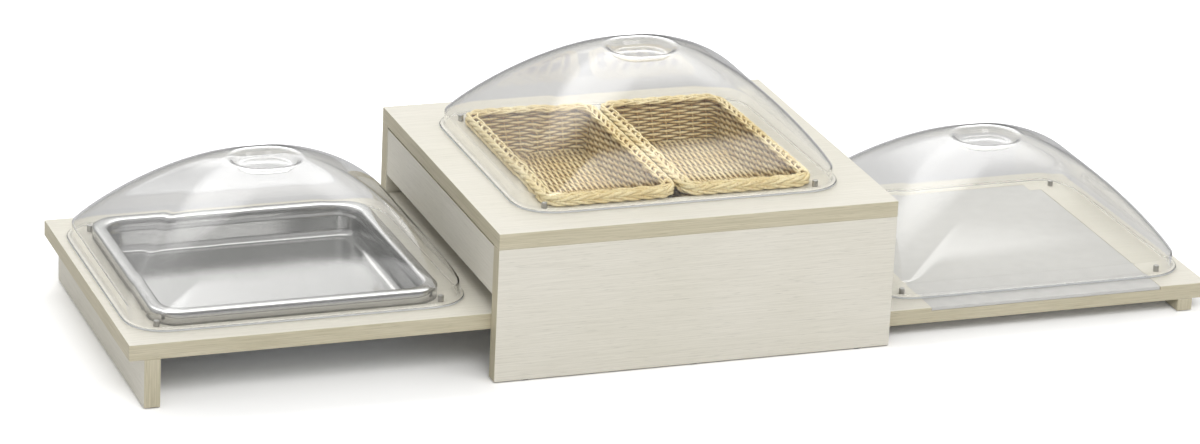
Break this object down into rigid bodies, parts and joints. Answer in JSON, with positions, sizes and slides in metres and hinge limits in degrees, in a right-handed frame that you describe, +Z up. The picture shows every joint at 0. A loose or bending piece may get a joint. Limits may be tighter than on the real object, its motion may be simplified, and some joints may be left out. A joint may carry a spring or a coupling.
{
  "type": "refrigerated buffet display",
  "caption": "Chilled buffet display: a wood-faced riser with a sliding shelf at each side, each station with a cold pack, a serving piece and a clear domed lid.",
  "frame": {"origin": "on the table under the centre of the riser, at the middle of the whole part's bottom face", "axes": "+X to the right along the row of stations, -Y towards the guests' side, +Z up"},
  "size_m": [1.392, 0.464, 0.3304],
  "materials": {
    "pale_wood": "fine brushed grain, satin",
    "hardwood": "plain turned beech",
    "zinc_screw": "zinc plated",
    "black_rubber": "matt",
    "white_tub": "vacuum formed, satin",
    "blue_pack": "blow moulded, translucent look",
    "pack_cap": "moulded",
    "pin_steel": "turned and polished",
    "clear_lid": "clear polycarbonate, polished",
    "tray_steel": "polished rim and walls, satin floor",
    "wicker": "woven natural cane",
    "white_slab": "smooth white"
  },
  "bodies": {
    "riser": {"riser_top_board": "pale_wood", "riser_front_panel": "pale_wood", "riser_back_panel": "pale_wood", "riser_left_band": "pale_wood", "riser_right_band": "pale_wood", "riser_top_dowels": "hardwood", "riser_band_dowels": "hardwood", "riser_foot_pads": "black_rubber", "left_shelf_front_runner": "pale_wood", "left_shelf_back_runner": "pale_wood", "right_shelf_front_runner": "pale_wood", "right_shelf_back_runner": "pale_wood", "left_runner_screws": "zinc_screw", "right_runner_screws": "zinc_screw", "centre_well_tub": "white_tub", "centre_tub_screws": "zinc_screw", "centre_locating_pins": "pin_steel"},
    "centre_pack": {"centre_cold_pack": "blue_pack", "centre_pack_cap": "pack_cap"},
    "left_basket": {"left_basket": "wicker"},
    "right_basket": {"right_basket": "wicker"},
    "centre_lid": {"centre_lid": "clear_lid"},
    "left_shelf": {"left_shelf_board": "pale_wood", "left_shelf_leg": "pale_wood", "left_leg_dowels": "hardwood", "left_foot_pads": "black_rubber", "left_well_tub": "white_tub", "left_tub_screws": "zinc_screw", "left_locating_pins": "pin_steel"},
    "left_pack": {"left_cold_pack": "blue_pack", "left_pack_cap": "pack_cap"},
    "steel_tray": {"steel_tray": "tray_steel"},
    "left_lid": {"left_lid": "clear_lid"},
    "right_shelf": {"right_shelf_board": "pale_wood", "right_shelf_leg": "pale_wood", "right_leg_dowels": "hardwood", "right_foot_pads": "black_rubber", "right_well_tub": "white_tub", "right_tub_screws": "zinc_screw", "right_locating_pins": "pin_steel"},
    "right_pack": {"right_cold_pack": "blue_pack", "right_pack_cap": "pack_cap"},
    "white_slab": {"white_slab": "white_slab"},
    "right_lid": {"right_lid": "clear_lid"}
  },
  "joints": [
    {"name": "left_shelf_slide", "type": "slide", "parent": "riser", "child": "left_shelf", "axis": [1, 0, 0], "range_m": [-0.04, 0.01]},
    {"name": "right_shelf_slide", "type": "slide", "parent": "riser", "child": "right_shelf", "axis": [-1, 0, 0], "range_m": [-0.04, 0.01]},
    {"name": "left_pack_lift", "type": "slide", "parent": "left_shelf", "child": "left_pack", "axis": [0, 0, 1], "range_m": [0, 0.07]},
    {"name": "steel_tray_lift", "type": "slide", "parent": "left_pack", "child": "steel_tray", "axis": [0, 0, 1], "range_m": [0, 0.09]},
    {"name": "left_lid_lift", "type": "slide", "parent": "steel_tray", "child": "left_lid", "axis": [0, 0, 1], "range_m": [0, 0.18]},
    {"name": "right_pack_lift", "type": "slide", "parent": "right_shelf", "child": "right_pack", "axis": [0, 0, 1], "range_m": [0, 0.07]},
    {"name": "white_slab_lift", "type": "slide", "parent": "right_pack", "child": "white_slab", "axis": [0, 0, 1], "range_m": [0, 0.07]},
    {"name": "right_lid_lift", "type": "slide", "parent": "white_slab", "child": "right_lid", "axis": [0, 0, 1], "range_m": [0, 0.18]},
    {"name": "centre_pack_lift", "type": "slide", "parent": "riser", "child": "centre_pack", "axis": [0, 0, 1], "range_m": [0, 0.09]},
    {"name": "left_basket_lift", "type": "slide", "parent": "centre_pack", "child": "left_basket", "axis": [0, 0, 1], "range_m": [0, 0.018]},
    {"name": "right_basket_lift", "type": "slide", "parent": "centre_pack", "child": "right_basket", "axis": [0, 0, 1], "range_m": [0, 0.018]},
    {"name": "centre_lid_lift", "type": "slide", "parent": "centre_pack", "child": "centre_lid", "axis": [0, 0, 1], "range_m": [0, 0.18]}
  ]
}
